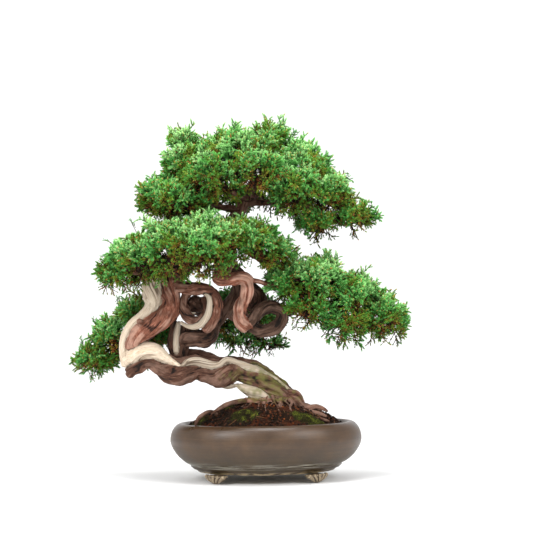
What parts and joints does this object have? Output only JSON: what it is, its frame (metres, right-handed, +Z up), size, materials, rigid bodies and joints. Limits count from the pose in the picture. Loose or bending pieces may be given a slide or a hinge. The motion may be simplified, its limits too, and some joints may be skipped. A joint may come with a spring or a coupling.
{
  "type": "bonsai tree in a pot",
  "caption": "Juniper bonsai with a twisted, coiling trunk, bleached deadwood and layered needle pads, in an oval clay pot with a rolled rim and carved feet.",
  "frame": {"origin": "on the ground, under the middle of the whole object's box", "axes": "+Z up, -Y the display front of the tree and pot, +X to the right, along the pot's long axis"},
  "size_m": [0.584, 0.318, 0.606],
  "materials": {
    "pot_clay": "satin",
    "carved_clay": "matte",
    "soil": "matte",
    "moss": "matte",
    "bark": "matte",
    "dark_bark": "matte",
    "deadwood": "matte",
    "needles": "matte",
    "net_plastic": "matte",
    "clip_wire": "satin"
  },
  "bodies": {
    "root": {"back_bough": "dark_bark", "coiled_limb": "dark_bark", "crown_back_bough": "dark_bark", "crown_front_bough": "dark_bark", "crown_left_bough": "dark_bark", "crown_right_bough": "dark_bark", "deadwood_shoulder": "deadwood", "drain_clip_left": "clip_wire", "drain_clip_right": "clip_wire", "drain_net_left": "net_plastic", "drain_net_right": "net_plastic", "foliage_back_low": "needles", "foliage_back_upper": "needles", "foliage_crown_left": "needles", "foliage_crown_middle": "needles", "foliage_crown_right": "needles", "foliage_low_left_inner": "needles", "foliage_low_left_outer": "needles", "foliage_middle_front": "needles", "foliage_middle_left": "needles", "foliage_middle_right": "needles", "foliage_right_inner": "needles", "foliage_right_outer": "needles", "foot_back_left": "carved_clay", "foot_back_right": "carved_clay", "foot_front_left": "carved_clay", "foot_front_right": "carved_clay", "hidden_limb": "dark_bark", "hooked_limb": "bark", "knuckle_limb": "dark_bark", "left_bough": "dark_bark", "low_back_bough": "dark_bark", "low_left_bough": "dark_bark", "middle_bough": "dark_bark", "moss_back_left": "moss", "moss_back_right": "moss", "moss_front": "moss", "moss_front_right": "moss", "moss_left": "moss", "moss_shoulder": "moss", "pot_body": "pot_clay", "right_bough": "dark_bark", "soil": "soil", "standing_stem": "dark_bark", "thin_bough": "dark_bark", "trunk": "bark"}
  },
  "joints": []
}
